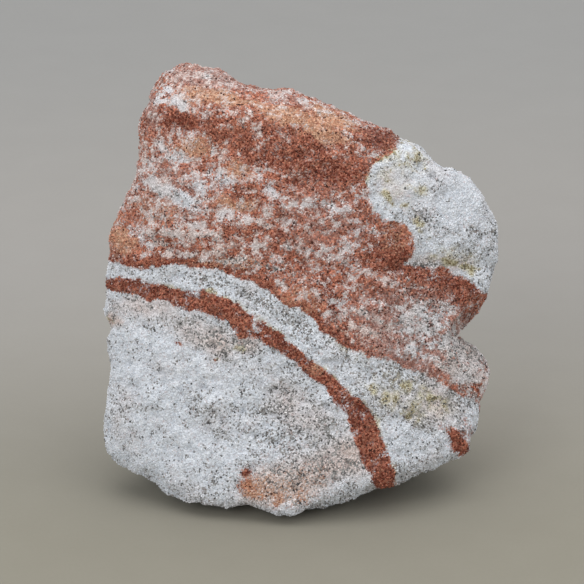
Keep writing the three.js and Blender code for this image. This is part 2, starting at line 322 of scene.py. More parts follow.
# Left edge of the white lobe at the upper right, as up and across, and its lower edge
LOBE_LEFT = (
    (5.3, 21.3), (6.7, 24.4), (8.4, 25.5), (10.4, 25.5), (11.8, 24.9), (13.3, 24.0),
    (14.7, 22.2), (15.1, 20.0), (16.2, 17.8), (17.8, 16.0), (20.0, 15.5), (22.2, 14.9),
    (23.3, 14.0), (24.9, 14.4), (27.1, 15.5), (28.2, 17.1), (29.5, 18.9), (30.6, 20.4),
    (31.7, 21.1), (33.1, 21.8), (35.5, 22.6),
)
LOBE_LOWER = (
    (20.0, 5.8), (24.9, 5.4), (30.4, 4.9), (32.9, 4.4), (35.5, 2.9), (37.7, 1.6),
    (39.5, 0.0), (42.6, -1.3),
)
# Patches of the face, each as its middle across and up, its half length, half width and tilt, and
# its strength. Paler and rustier ones lie in the red bed, where the next three change its tone.
PALE_PATCHES = (
    (-39.5, 19.5, 2.2, 3.1, 10, 0.5), (11.1, -7.1, 4.4, 1.8, -30, 0.35), (16.4, -9.3, 4.9, 1.8, -30, 0.25),
    (-31.3, 42.2, 2.2, 1.8, 0, 0.8), (-17.8, 24.9, 3.1, 2, -10, 0.3), (-17.3, 15.1, 3.1, 1.8, -10, 0.35),
    (4.9, 39.5, 7.5, 2, -22, 0.35), (36.4, -20, 5.3, 2.2, -28, 0.5), (-37.7, 24.9, 3.6, 5.8, 15, 0.35),
    (-33.3, 22.6, 3.1, 3.1, -20, 0.3), (-27.1, 42, 3.6, 2, -30, 0.35), (-21.1, 46.2, 8.9, 2.7, -8, 0.15),
    (36.9, -4.9, 2.7, 2.2, 0, 0.3), (-35.1, 11.5, 6.2, 0.9, -35, 0.6), (-24.4, 8, 9.8, 0.9, -4, 0.45),
    (-28.9, 43.1, 4.4, 2.2, -40, 0.2), (-21.1, 13.8, 13.3, 4.9, -8, 0.15), (-17.8, 23.3, 3.1, 1.8, 0, 0.3),
    (0, 10, 8.9, 2.2, -8, 0.2), (40.4, -16, 3.6, 8.9, 10, 0.45), (37.3, -13.8, 5.8, 6.7, 0, 0.35),
    (-24.4, 12.2, 8.9, 3.1, -8, 0.15), (-20.6, 46.8, 1.3, 1.3, 0, 0.8), (-29.7, 48, 2, 0.9, 50, 0.7),
    (-26.4, 41.1, 2, 1.3, -35, 0.9), (-28.6, 44, 1.3, 0.9, -50, 0.7), (-31.1, 31.7, 1.6, 1.3, 40, 0.6),
    (-26.6, 28.9, 2.2, 1.3, -50, 0.75), (-29.3, 29.3, 2.7, 1.6, -35, 0.5), (-32.9, 26.6, 1.8, 3.1, 0, 0.5),
    (-27.1, 20.6, 7.5, 2, -24, 1), (-31.5, 23.1, 3.1, 1.6, -20, 0.7), (-16.6, 24.2, 2.7, 1.8, -20, 0.6),
    (-18.6, 31.1, 0.9, 1.6, 0, 0.7), (-15.8, 32.9, 1.1, 0.9, 0, 0.6), (-8, 28, 1.3, 0.9, -20, 0.7),
    (-9.1, 24.9, 1.1, 2, 30, 0.9), (-6.2, 21.8, 2.4, 1.3, -45, 1), (-21.1, 22.6, 2.2, 1.6, 0, 0.6),
    (-13.3, 22.2, 3.6, 1.1, -15, 0.45), (-11.8, 15.8, 2, 1.3, 0, 0.6), (-16.6, 16.9, 2, 0.9, 0, 0.4),
    (-24.4, 15.1, 4.9, 1.3, -12, 0.45), (-19.5, 11.5, 4.4, 1.1, -8, 0.35), (4.4, 18.6, 7.5, 1.3, -8, 0.5),
    (-2.2, 14.4, 3.1, 1.8, 0, 0.45), (0, 8.9, 5.3, 0.9, -6, 0.35), (-8.9, 10.2, 4, 1.1, -8, 0.45),
    (-33.3, 16.6, 3.1, 1.3, -15, 0.4), (14.4, -12.2, 7.5, 5.8, -30, 0.2),
    (28.9, -10.7, 11.5, 6.7, -25, 0.22), (36.6, -16, 4.9, 5.8, 0, 0.35), (21.1, -7.8, 6.7, 2.2, -15, 0.2),
    (33.7, -11.1, 4.4, 2.7, -20, 0.2), (0, 1.1, 5.8, 1.1, -12, 0.3), (8.9, -2.2, 5.8, 1.3, -18, 0.35),
    (-15.5, 6.2, 5.8, 0.9, -4, 0.3),
)
RUST_PATCHES = (
    (-17.3, 34.2, 4.9, 1.8, -8, 0.3), (4.4, 32.9, 4.4, 2, -18, 0.3), (4.9, 20.4, 4, 1.8, -10, 0.6),
    (18.2, 33.3, 2.4, 2, 0, 0.55), (-35.5, 15.5, 3.1, 1.8, -10, 0.25), (21.3, 6.2, 4.4, 1.6, -5, 0.6),
    (15.5, 30.6, 2.7, 1.3, -20, 0.2), (4.9, 10.7, 5.8, 1.6, -6, 0.6), (22.6, -1.8, 3.6, 2, -10, 0.3),
    (8.9, 6.2, 5.3, 1.6, -10, 0.35), (31.1, -1.8, 7.5, 3.6, -22, 0.35), (5.5, 33.3, 8.9, 3.1, -18, 0.4),
    (-39.5, 15.1, 2.7, 4.4, 0, 0.5), (22.2, 7.1, 3.6, 2.2, -20, 0.6), (-25.5, 36.4, 7.5, 1.8, -4, 0.3),
    (17.8, 6.2, 9.8, 1.8, -8, 0.35), (16.6, -11.1, 5.8, 2, -28, 0.35), (-16.6, 42.2, 8.9, 1.8, -14, 0.4),
    (-1.1, 38.2, 9.8, 2.2, -20, 0.4), (-32.9, 39.5, 2.7, 5.3, 8, 0.25), (34.4, -1.3, 5.3, 1.3, -30, 0.45),
    (36.9, -4.9, 2.2, 1.8, 0, 0.4), (-24.2, 36.9, 6.2, 1.6, -6, 0.8), (-14.4, 33.3, 4.9, 1.8, -20, 0.4),
    (0, 27.8, 13.8, 5.3, -16, 0.7), (11.1, 26.6, 5.8, 4.4, -20, 0.4), (21.1, 11.5, 5.8, 6.2, -30, 0.7),
    (-38.2, 10.7, 4.9, 3.1, -10, 0.7), (16.6, 32.9, 5.3, 3.1, -20, 0.7), (26.6, 3.1, 14.2, 1.8, -9, 0.6),
    (37.7, -0.4, 6.7, 1.6, -28, 0.6), (-23.3, 31.1, 4.9, 2, 0, 0.35), (-14.2, 26.6, 3.6, 2.4, 0, 0.3),
    (-13.8, 18.9, 4.4, 1.6, -10, 0.3), (-33.3, 6.2, 11.1, 0.9, 0, 0.5), (6.7, -8.9, 1.8, 1.1, -30, 0.6),
    (10, -11.8, 2, 1.1, -30, 0.6), (15.5, -13.3, 3.6, 1.1, -28, 0.5), (22.2, -15.8, 2.7, 1.1, -30, 0.6),
    (0, -5.3, 3.1, 1.3, -40, 0.5), (-2.9, -2.9, 2.7, 1.3, -40, 0.5), (18.9, -12.2, 5.3, 3.1, -30, 0.3),
    (34.4, -22.2, 4.4, 1.1, -30, 0.25), (18.9, 0, 3.1, 2.2, -20, 0.4), (2.2, 3.3, 6.7, 1.1, -10, 0.3),
)
# Maroon patches. The one at 36.9 across and -4.7 up is painted shade on the notch's facet, which faces down
# and to the right.
MAROON_AND_SHADE_PATCHES = (
    (4.4, 32.9, 4.4, 2, -18, 0.3), (-4.4, -11.1, 3.6, 2, -35, 0.45), (5.5, 33.3, 8.9, 2.7, -18, 0.25),
    (16.6, 32.9, 5.3, 3.1, -10, 0.45), (31.1, -2.2, 6.7, 2.7, -22, 0.3), (-27.5, 36.6, 6.7, 2, -4, 0.3),
    (20.4, 34.4, 3.1, 1.8, -15, 0.4), (14.4, 31.1, 5.8, 2.2, -15, 0.15), (22.2, 6.2, 8.9, 3.1, -10, 0.45),
    (17.8, -12.2, 6.7, 2, -28, 0.35), (15.5, -2.2, 13.3, 8.9, -20, 0.2), (33.7, -33.3, 2.2, 2.7, -20, 0.6),
    (36.4, -35.5, 2.2, 1.8, 10, 0.5), (-11.8, -40, 1.8, 1.8, 0, 0.6), (36.9, -4.7, 2.7, 2.2, 0, 0.5),
    (-12.2, -44, 2, 2.2, -20, 0.1), (-26, 36.9, 4.9, 1.6, -6, 0.9), (-16.6, 42.6, 6.2, 1.3, -14, 0.15),
    (0, 26.6, 11.1, 4.4, -16, 0.5), (11.1, 24.9, 6.7, 3.1, -20, 0.35), (34.4, 1.6, 9.3, 2, -18, 0.8),
    (17.8, 33.3, 4.9, 2.7, -10, 0.4), (20, 3.3, 7.5, 1.3, -6, 0.3), (4.4, 7.8, 11.1, 2, -8, 0.35),
    (-22.2, 7.1, 13.3, 1.3, 0, 0.5), (-9.3, 30.6, 7.5, 2, -20, 0.2), (18.9, 12.2, 5.3, 6.2, -20, 0.4),
)
TAN_PATCHES = (
    (3.6, -16.9, 2.4, 1.8, -40, 0.9), (7.8, 36.9, 6.2, 1.8, -22, 0.7), (-24, 42.6, 4.4, 2, -20, 0.5),
    (-3.3, -43.3, 12.4, 5.3, 10, 0.9), (-16.6, 42.2, 8, 1.6, -14, 0.9), (-2.2, 37.7, 9.8, 2.2, -18, 0.9),
    (-23.3, 44, 2.7, 1.1, -10, 0.6), (6.7, 33.3, 5.3, 1.8, -20, 0.7), (-23.3, 31.1, 5.3, 2.4, 0, 0.7),
    (-14, 26.2, 3.6, 2.7, 0, 0.6), (-14.2, 18.9, 4.9, 1.8, -10, 0.7), (-38.9, 10.7, 4.4, 2.7, -10, 0.6),
    (21.1, 12.2, 4.9, 5.3, -30, 0.25), (0, -2.2, 6.7, 2.7, -20, 0.3), (-15.5, 6.2, 8.9, 1.6, -5, 0.4),
    (6.7, 38.9, 6.7, 1.3, -22, 0.7), (-31.1, 17.8, 6.7, 4.4, -20, 0.35), (-41.1, 14.4, 2.2, 3.1, 10, 0.4),
)
PINK_PATCHES = (
    (-21.1, 47.1, 10.2, 3.6, -8, 0.9), (-32.9, 40, 2.2, 4.9, 8, 0.7), (-3.3, 42.6, 6.7, 1.8, -22, 0.6),
    (-28.9, 22.2, 13.3, 7.5, -20, 0.5), (16.6, 33.3, 5.8, 3.1, -20, 0.2),
    (26.6, -10, 17.8, 11.1, -20, 0.8), (4.4, 15.5, 13.3, 8.9, -8, 0.4),
)
BEIGE_PATCHES = (
    (-11.1, -11.8, 3.6, 2.7, -20, 0.5), (-33.3, -3.6, 10.2, 2.7, -4, 0.35),
    (-21.1, -10, 9.8, 4.4, -20, 0.45), (-4.4, -42.6, 12, 6.2, 12, 0.6), (10, -36.6, 7.5, 5.3, 0, 0.5),
    (21.1, 23.3, 4.9, 4.9, 0, 0.3), (36.6, -16, 6.2, 7.5, 10, 0.3), (27.8, -25.5, 8.9, 5.8, -20, 0.5),
    (-41.7, -6.7, 2.7, 1.8, 0, 0.6), (0, -26.6, 8.9, 6.7, -20, 0.35), (31.1, 6.2, 8, 1.8, -5, 0.4),
    (13.3, -8.9, 8.9, 4.4, -20, 0.4),
)
# Grey patches. Some of them are painted shade: the thin line at 25.8 across and 5.8 up is painted shade in
# the groove under the upper right lobe, and the streaks tilted 25 to 30 degrees in the lower left are
# painted shade of its ledges and pits.
GREY_AND_SHADE_PATCHES = (
    (24, -27.1, 5.3, 2.7, -20, 0.35), (13.3, -21.1, 12.4, 3.1, -55, 0.35),
    (27.1, -29.3, 4.4, 2.7, -10, 0.35), (-33.3, 12, 5.8, 0.8, -28, 0.5), (-13.3, 7.1, 7.5, 0.7, -14, 0.5),
    (6.7, 6.2, 8.9, 0.7, -8, 0.4), (12.2, -12.2, 9.8, 2.7, -38, 0.3), (-3.6, -33.3, 6.2, 3.1, 0, 0.25),
    (22.2, 32.9, 3.1, 1.8, 30, 0.35), (0, -42.2, 4, 2.2, 0, 0.3), (-2.2, 11.1, 11.1, 1.1, -6, 0.35),
    (-20, 6.2, 11.1, 0.9, 0, 0.35), (22.2, -20, 6.7, 3.1, -25, 0.5), (35.5, -24, 4, 3.1, -30, 0.5),
    (-2.2, -41.7, 12, 4.9, 8, 0.5), (27.8, -28.9, 6.7, 3.1, -20, 0.45), (27.8, -2.2, 11.1, 3.1, -22, 0.4),
    (-20.4, -10, 8, 3.6, -22, 0.75), (0, -31.1, 11.5, 9.8, -10, 0.5), (-7.1, -26.6, 5.8, 2.7, 30, 0.25),
    (-22.2, -24.9, 4.4, 2.2, 25, 0.45), (-7.1, -25.5, 3.6, 1.6, 27, 0.5),
    (-15.5, 0.4, 11.1, 1.8, -20, 0.5), (-2.2, -6.2, 10.2, 2.2, -38, 0.6),
    (-11.1, -12.2, 3.6, 2.7, -20, 0.6), (22.2, -16.6, 8.9, 2.2, -28, 0.5),
    (-32.2, 3.6, 7.5, 1.3, -6, 0.35), (11.1, -36.6, 6.7, 5.8, 0, 0.35), (-31.1, 9.8, 5.8, 1.1, -8, 0.5),
    (-8.9, 4.9, 15.5, 1.8, -6, 0.5), (23.3, -21.1, 8.9, 2.7, -20, 0.4), (31.1, -24.9, 5.8, 1.8, -20, 0.6),
    (26.6, -8.9, 13.3, 6.7, -20, 0.35), (33.7, 19.8, 1.8, 1.1, -15, 0.8), (38.6, 12.7, 2.7, 1.8, -10, 0.9),
    (27.1, 15.1, 3.6, 2.7, -30, 0.4), (42.6, 12.2, 1.3, 2.7, 0, 0.5), (25.8, 5.8, 8, 0.8, -4, 1.3),
    (36.6, -13.3, 7.1, 7.1, 0, 0.5), (13.8, -4.9, 3.1, 1.6, -15, 0.7), (28.9, -2.2, 8.9, 1.8, -15, 0.3),
    (8.9, 8.9, 13.3, 1.3, -8, 0.3), (25.5, -37.7, 7.5, 1.8, 20, 0.3), (4.4, -46.6, 8.9, 1.8, 10, 0.2),
    (-12.2, -31.1, 4, 1.8, 30, 0.3), (-33.3, -24.4, 4.4, 2.2, 25, 0.15),
    (-26.6, -33.3, 5.3, 2.2, 25, 0.15),
)
SMOOTH_PATCHES = (
    (35.5, 20, 7.5, 6.7, -30, 0.75), (22.2, 22.2, 4.9, 5.3, 0, 0.5), (-33.3, -17.8, 9.8, 9.8, 0, 0.35),
    (-28.9, -35.5, 11.1, 5.8, -20, 0.4), (-18.9, -18.9, 6.7, 4.4, 0, 0.3),
    (28.9, -36.6, 6.7, 2.2, 15, 0.4),
)
OCHRE_PATCHES = (
    (4.9, -16.2, 2, 0.9, -45, 0.7), (24, 29.7, 5.3, 3.6, -30, 0.55), (21.3, 23.5, 5.8, 7.5, 0, 0.32),
    (33.3, 7.1, 7.5, 3.1, -8, 0.35), (24.4, -24.4, 11.1, 5.3, -25, 0.38), (12.9, -12.4, 11.1, 4, -38, 0.3),
    (19.5, 20.9, 2.4, 0.7, -60, 0.9), (22, 18.6, 1.6, 0.7, -40, 0.8), (26.9, 21.5, 1.6, 1.3, 0, 0.45),
    (25.1, 15.1, 1.3, 0.7, -20, 0.6), (26.9, 12.9, 1.1, 0.9, 0, 0.5), (28.2, 11.1, 1.1, 0.7, 0, 0.35),
    (32.2, 6.2, 2.7, 0.7, -20, 0.6), (37.3, 4.9, 2, 0.7, -5, 0.6), (29.3, 7.5, 1.3, 0.7, 0, 0.3),
    (18.6, 29.3, 4, 0.9, 40, 1), (14.7, 24, 0.9, 3.1, 0, 0.7), (15.8, 18.9, 0.7, 2, 20, 0.5),
    (26.2, 15.1, 1.8, 0.9, -20, 0.8), (24, 11.5, 2, 2, 0, 0.4), (35.5, 4.9, 3.1, 0.9, -25, 0.8),
    (16, 27.1, 1.3, 0.9, 60, 0.5), (-19.5, -0.7, 1.8, 0.7, -25, 0.9), (-16.6, -2, 1.8, 0.7, -30, 0.6),
    (15.5, -21.8, 2.7, 1.6, -20, 0.45), (19.5, -24, 2, 1.8, -20, 0.5), (23.3, -27.5, 2.7, 1.1, -20, 0.55),
    (23.5, -21.1, 1.6, 0.9, -20, 0.9), (31.1, -24.4, 3.6, 1.3, -25, 0.8),
    (27.8, -22.6, 3.6, 1.3, -20, 0.35), (-13.3, -12.9, 1.6, 1.1, 0, 0.6), (-18.4, -14.9, 0.9, 0.7, 0, 0.6),
    (-42.6, -6.9, 1.8, 0.9, 0, 0.4), (-37.5, -6.7, 1.1, 0.7, 0, 0.25), (-26.6, 0.4, 4.9, 0.7, 0, 0.25),
    (6.7, -18.9, 5.3, 0.7, -45, 0.35), (16.2, -32.9, 1.3, 4.9, -15, 0.7), (10, -23.3, 2.7, 0.7, -50, 0.4),
)
STAIN_PATCHES = (
    (-2.7, -43.5, 10.2, 4.4, 10, 0.12), (-10.7, -43.1, 3.3, 3.8, -20, 0.35), (-12, -40, 2.2, 1.8, 0, 0.5),
    (-9.3, -43.5, 3.6, 2.7, 0, 0.3), (32.9, -31.1, 1.8, 1.8, 0, 0.5), (31.1, -30, 1.1, 2.2, -20, 0.3),
    (34.4, -33.5, 2.9, 2.2, -60, 1.7), (36.4, -35.3, 1.8, 1.6, -10, 1.5), (37.1, -30.6, 1.6, 2.7, 0, 0.35),
    (-11.8, -39.5, 1.3, 1.1, 0, 0.9), (-8.4, -39.3, 0.7, 0.7, 0, 0.6), (-12.2, -44, 2, 2.2, -20, 0.75),
    (-9.3, -45.3, 1.8, 1.6, 0, 0.55), (-5.3, -46.4, 2, 1.8, -40, 0.65), (-26.6, -11.8, 0.8, 0.8, 0, 1),
    (-42.2, -7.1, 1.6, 0.9, 0, 0.25), (-18.4, -14.9, 1.1, 0.7, 0, 0.4), (0, -41.7, 9.8, 4.9, 10, 0.2),
    (-2.2, -46.6, 6.7, 1.8, 10, 0.25), (39.3, -22.4, 1.8, 1.1, -30, 0.6), (-13.3, -10.7, 1.8, 1.1, 0, 0.3),
    (-4.4, -35.5, 6.7, 2.7, 10, 0.1),
)

# The patches with ragged edges, and those that fade in softly
RAGGED_PATCHES = {
    "pale": PALE_PATCHES, "rust": RUST_PATCHES, "maroon": MAROON_AND_SHADE_PATCHES, "tan": TAN_PATCHES,
    "grey": GREY_AND_SHADE_PATCHES, "ochre": OCHRE_PATCHES, "stain": STAIN_PATCHES,
}
SOFT_PATCHES = {"pink": PINK_PATCHES, "beige": BEIGE_PATCHES, "smooth": SMOOTH_PATCHES}
# A patch is whole up to the first share of its size and gone at the second
PATCH_FADE = (0.33, 1.3)
# Shifts that make the edges uneven, each as its spacing and reach. The wide one acts only behind the
# face and grows up to its depth, and the ragged one acts on the ragged patches alone.
EDGE_SHIFTS = ((5, 0.2), (2.4, 0.35), (1.1, 0.35))
WIDE_SHIFT, WIDE_SHIFT_DEPTH = (9, 2.5), 14
RAGGED_SHIFT = (2.1, 0.9)
SHIFT_STEPS = np.array([(0, 0, 0), (40, 0, 0), (0, 40, 0)])
# From nothing to all of each bed, as heights past its edge. The red bed's rim ends above and to the
# right, and the fringe of the thin band starts at the left.
RED_BED_EDGE, BAND_EDGE, LOBE_EDGE = (-0.3, 0.4), (-0.3, 0.5), (-0.4, 0.5)
RIM_TOP, RIM_END = (0.8, 2.4), (12, 34)
FRINGE_TOP, FRINGE_FOOT, FRINGE_START = (-1.1, 0.1), (0.3, 1.5), (-28, -22)
# Unevenness of the sand: the thickness of its layers, how far they are drawn out along the beds and in
# depth, and the spacing of its clouds and lumps
LAYER_THICKNESS, LAYER_STRETCH = 2.0, (5, 1, 3)
THIN_LAYER_THICKNESS, THIN_LAYER_STRETCH = 0.9, (6, 1, 3)
COARSE_SPACING, CLUMP_SPACING, FINE_SPACING, FINEST_SPACING = 6, 2.4, 1.25, 0.7
# How much each bed, patch and unevenness counts in what the grains are like. All is 1 everywhere.
MOTTLE = {"layers": 0.16, "thin layers": 0.5, "coarse": 0.06, "fine": 0.45, "clumps": 0.1, "finest": 0.4}
RUST_EVENS_OUT = 0.6
RED_SHARE = {"all": 0.62, "mottle": 1, "rust": 0.45, "rim": 0.5, "pale": -0.5, "grey": -0.3}
BAND_SHARE = {"all": 1.05, "clumps": 0.6, "fine": 0.45, "fringe": -0.35}
BAND_SHARE_RANGE = (0.3, 1.1)
STAIN_SPECKLE = {"all": 0.85, "fine": 0.4}
STRAY_RED = 0.002
DARKNESS = {
    "all": 0.46, "layers": 0.2, "coarse": 0.1, "maroon": 0.45, "rim": 0.22, "band": 0.05, "tan": -0.2,
}
BAND_HIDES_TAN = 0.5
FRINGE_SPECKLE = {"all": 0.3, "coarse": 1.0, "clumps": 0.6}
OCHRE_SPECKLE = {"all": 0.5, "clumps": 0.7, "fine": 0.6}
FRINGE_OCHRE = 0.7
BEIGE_SHARE = {"all": 0.1, "beige": 1, "coarse": 0.35, "warm bed": 0.6}
PALE_COOLS, RIGHT_COOLS, RIGHT_PART = 0.5, 0.35, (0, 25)
# Shares of grey and dark grains: partly their own tone, and partly painted shade of pits and cracks between
# grains
GREY_SHARE = {"all": 0.12, "grey": 0.45, "clumps": 0.22, "fine": 0.25, "coarse": 0.12, "smooth": -0.35}
DARK_GRAIN_AND_PIT_SHADE_SHARE = {"all": 0.032, "grey": 0.08, "clumps": 0.05, "fine": 0.05, "smooth": -0.06}
# How unlike the grains are in brightness, in white and red parts and where the face is smooth: partly their
# own tone, partly painted shade and highlight
UNLIKE_WHITE, UNLIKE_RED, SMOOTH_ALIKE = 0.35, 0.55, 0.7


def mix(parts, weights):
    """Sum of the parts that the weights name, each times its weight."""
    return sum(weight * parts[name] for name, weight in weights.items())


def whole(share):
    """A share kept between 0 and 1."""
    return np.clip(share, 0, 1)


def clouds(points, spacing):
    """Lumps of this spacing, with half as high ones at half of it and quarter ones at a quarter."""
    return sum(lumps(points + 17 * step, spacing / 2**step) / 2**step for step in range(3)) / 1.75


def shift(points, spacing, steps):
    """A shift of each point in three directions: lumps, with their lattice moved by each of the steps."""
    return np.stack([lumps(points + step, spacing) for step in steps], axis=1)


def spread(places, patches):
    """Sum over oval patches of strength times a share, which falls as 3t^2 - 2t^3 with the distance from
    the middle. They also fade in depth, towards the stone's back."""
    across, up, depth = places.T
    total = np.zeros(len(places))
    for middle_across, middle_up, half_length, half_width, tilt, strength in patches:
        sine, cosine = math.sin(math.radians(tilt)), math.cos(math.radians(tilt))
        u = ((across - middle_across) * cosine + (up - middle_up) * sine) / half_length
        v = ((up - middle_up) * cosine - (across - middle_across) * sine) / half_width
        w = np.maximum(0, depth) / PATCH_THICKNESS
        total += strength * (1 - smoothstep(np.sqrt(u * u + v * v + w * w), *PATCH_FADE))
    return total


def dip_places(across, up):
    """The same places counted along the beds and across them, by turning them through the dip."""
    sine, cosine = math.sin(BEDS_DIP), math.cos(BEDS_DIP)
    return across * cosine - up * sine, across * sine + up * cosine


def edge_height(along, crosswise, edge):
    """Height above a bed's edge, measured across the beds."""
    edge_along, edge_crosswise = dip_places(*np.array(edge).T)
    return crosswise - np.interp(along, edge_along, edge_crosswise)


def bed_parts(places):
    """Shares of the beds at these places, each a product of smooth steps past its edges, and the layers,
    which are clouds drawn out along the beds."""
    across, up, depth = places.T
    along, crosswise = dip_places(across, up)
    crosswise += BACKWARD_DIP * np.maximum(0, depth)
    over_red_bed = edge_height(along, crosswise, RED_BED_LOWER)
    under_band_top = -edge_height(along, crosswise, THIN_BAND_UPPER)
    over_band_foot = edge_height(along, crosswise, THIN_BAND_LOWER)
    lobe_up, lobe_across = np.array(LOBE_LEFT).T
    right_of_lobe_edge = across - np.interp(up, lobe_up, lobe_across)
    over_lobe_foot = up - np.interp(across, *np.array(LOBE_LOWER).T)
    lobe = smoothstep(right_of_lobe_edge, *LOBE_EDGE) * smoothstep(over_lobe_foot, *LOBE_EDGE)
    fringe = smoothstep(under_band_top, *FRINGE_TOP) * (1 - smoothstep(under_band_top, *FRINGE_FOOT))
    layered = np.stack((along, over_red_bed, depth), axis=1)
    return {
        "red bed": smoothstep(over_red_bed, *RED_BED_EDGE) * (1 - lobe),
        "rim": (1 - smoothstep(over_red_bed, *RIM_TOP)) * (1 - smoothstep(across, *RIM_END)),
        "band": smoothstep(under_band_top, *BAND_EDGE) * smoothstep(over_band_foot, *BAND_EDGE),
        "fringe": fringe * smoothstep(along, *FRINGE_START),
        "layers": clouds(layered / LAYER_STRETCH, LAYER_THICKNESS),
        "thin layers": clouds(layered / THIN_LAYER_STRETCH + 60, THIN_LAYER_THICKNESS),
    }


def sand_fields(points):
    """What the grains at these points are like, as three columns in each of three arrays. Iron: share of
    red grains, how dark they are, how tan. Tint: how pink, how beige, share of ochre grains. Specks: share
    of grey grains and of dark ones, and how unlike the grains are in brightness. The dark grains are partly
    painted shade of pits, and the spread in brightness is partly painted shade and highlight. Each is a mix
    of the beds, the patches and the unevenness of the sand, at places shifted so that every edge is ragged."""
    straight = turn_by_lean(points - (0, 0, MIDDLE_HEIGHT))
    behind = smoothstep(straight[:, 2:], 0, WIDE_SHIFT_DEPTH)
    places = straight + WIDE_SHIFT[1] * behind * shift(straight, WIDE_SHIFT[0], SHIFT_STEPS)
    for spacing, reach in EDGE_SHIFTS:
        places += reach * shift(straight, spacing, SHIFT_STEPS)
    ragged = places + RAGGED_SHIFT[1] * shift(straight, RAGGED_SHIFT[0], -np.roll(SHIFT_STEPS, -1, axis=0))

    parts = {"all": 1, **bed_parts(places)}
    parts.update((name, spread(ragged, patches)) for name, patches in RAGGED_PATCHES.items())
    parts.update((name, spread(places, patches)) for name, patches in SOFT_PATCHES.items())
    parts["coarse"] = clouds(straight + 90, COARSE_SPACING)
    parts["clumps"] = clouds(straight + 130, CLUMP_SPACING)
    parts["fine"] = lumps(straight + 70, FINE_SPACING)
    parts["finest"] = lumps(straight + 110, FINEST_SPACING)
    parts["mottle"] = mix(parts, MOTTLE) * (1 - RUST_EVENS_OUT * whole(parts["rust"]))
    parts["fringe"] = parts["fringe"] * whole(mix(parts, FRINGE_SPECKLE))
    cooled = PALE_COOLS * whole(parts["pale"])
    cooled_right = RIGHT_COOLS * smoothstep(places[:, 0], *RIGHT_PART)
    parts["warm bed"] = parts["red bed"] * (1 - cooled) * (1 - cooled_right)

    red_share = mix(parts, RED_SHARE) * parts["red bed"] + STRAY_RED
    red_share += np.clip(mix(parts, BAND_SHARE), *BAND_SHARE_RANGE) * parts["band"]
    red_share += parts["stain"] * mix(parts, STAIN_SPECKLE)
    tan = parts["tan"] * (1 - BAND_HIDES_TAN * parts["band"])
    ochre = parts["ochre"] * mix(parts, OCHRE_SPECKLE) + FRINGE_OCHRE * parts["fringe"]
    unlike = (UNLIKE_WHITE + UNLIKE_RED * whole(red_share)) * (1 - SMOOTH_ALIKE * whole(parts["smooth"]))
    return {
        "iron": np.stack((red_share, mix(parts, DARKNESS), tan), axis=1),
        "tint": np.stack((parts["pink"], mix(parts, BEIGE_SHARE), ochre), axis=1),
        "specks": np.stack((mix(parts, GREY_SHARE), mix(parts, DARK_GRAIN_AND_PIT_SHADE_SHARE), unlike), axis=1),
    }


def carry(piece, fields):
    """Gives a piece's mesh these fields, one value of three numbers at every point."""
    for name, values in fields.items():
        attribute = piece.data.attributes.new(name, "FLOAT_VECTOR", "POINT")
        attribute.data.foreach_set("vector", values.ravel())


class Shade:
    """A socket of a material's nodes. Arithmetic on it adds Math nodes, and node() adds any other node."""

    def __init__(self, nodes, socket=None):
        self.nodes = nodes
        self.socket = socket

    def node(self, kind, settings, inputs, output=0):
        """Adds a node: its settings first, then its sockets by name or number, as values or shades."""
        made = self.nodes.nodes.new(kind)
        for name, value in settings.items():
            setattr(made, name, value)
        for name, value in inputs.items():
            if isinstance(value, Shade):
                self.nodes.links.new(value.socket, made.inputs[name])
            else:
                made.inputs[name].default_value = value
        return Shade(self.nodes, made.outputs[output])

    def math(self, operation, *values):
        return self.node("ShaderNodeMath", {"operation": operation}, dict(enumerate((self, *values))))

    def __add__(self, other):
        return self.math("ADD", other)

    __radd__ = __add__

    def __mul__(self, other):
        return self.math("MULTIPLY", other)

    __rmul__ = __mul__

    def __sub__(self, other):
        return self.math("SUBTRACT", other)

    def __rsub__(self, other):
        return self.math("MULTIPLY", -1) + other

    def rise(self, low, high):
        """0 below low, 1 above high, and a smooth rise between them."""
        inputs = {"Value": self, "From Min": low, "From Max": high}
        return self.node("ShaderNodeMapRange", {"interpolation_type": "SMOOTHSTEP"}, inputs)

    def blend(self, first, second):
        """The first colour where this is 0 and the second where it is 1."""
        return self.node("ShaderNodeMix", {"data_type": "RGBA"}, {0: self, 6: first, 7: second}, 2)

    def reroll(self, step):
        """Another chance value from this one: the fraction of its product with the step."""
        return (self * step).math("FRACT")

    def parts(self):
        """The three numbers of a vector or colour."""
        split = self.node("ShaderNodeSeparateXYZ", {}, {0: self})
        return [Shade(self.nodes, output) for output in split.socket.node.outputs]


def colour(red, green, blue):
    """A colour given in the 0 to 255 steps of a screen, as the linear light that a shader takes."""
    steps = np.array((red, green, blue)) / 255
    linear = np.where(steps <= 0.04045, steps / 12.92, ((steps + 0.055) / 1.055) ** 2.4)
    return (*linear.tolist(), 1.0)


# Two colours of each kind of grain, between which chance picks, on a screen's scale of 0 to 255
GRAIN_COLOURS = {
    "rust": ((207, 134, 108), (106, 46, 31)),
    "tan": ((216, 176, 148), (172, 118, 90)),
    "pink": ((204, 180, 174), (140, 104, 96)),
    "clean": ((229, 232, 237), (206, 211, 218)),
    "warm": ((232, 217, 211), (200, 179, 170)),
    "grey": ((178, 176, 174), (112, 110, 108)),
    "ochre": ((180, 170, 138), (116, 104, 76)),
    # Dark specks: partly dark grains, partly painted shade of the pits between grains
    "dark": ((64, 64, 66), (124, 122, 120)),
}
RUSTY_GREY = (158, 122, 109)
RUSTY_DARK_AND_PIT_SHADE = (74, 42, 33)
OCHRE_WHITE = (214, 208, 182)
# The spread of the grains' brightness: partly their own tone, partly painted shade and highlight of the
# grain-scale relief
TONE_AND_PAINTED_SHADING_RANGE = 0.7
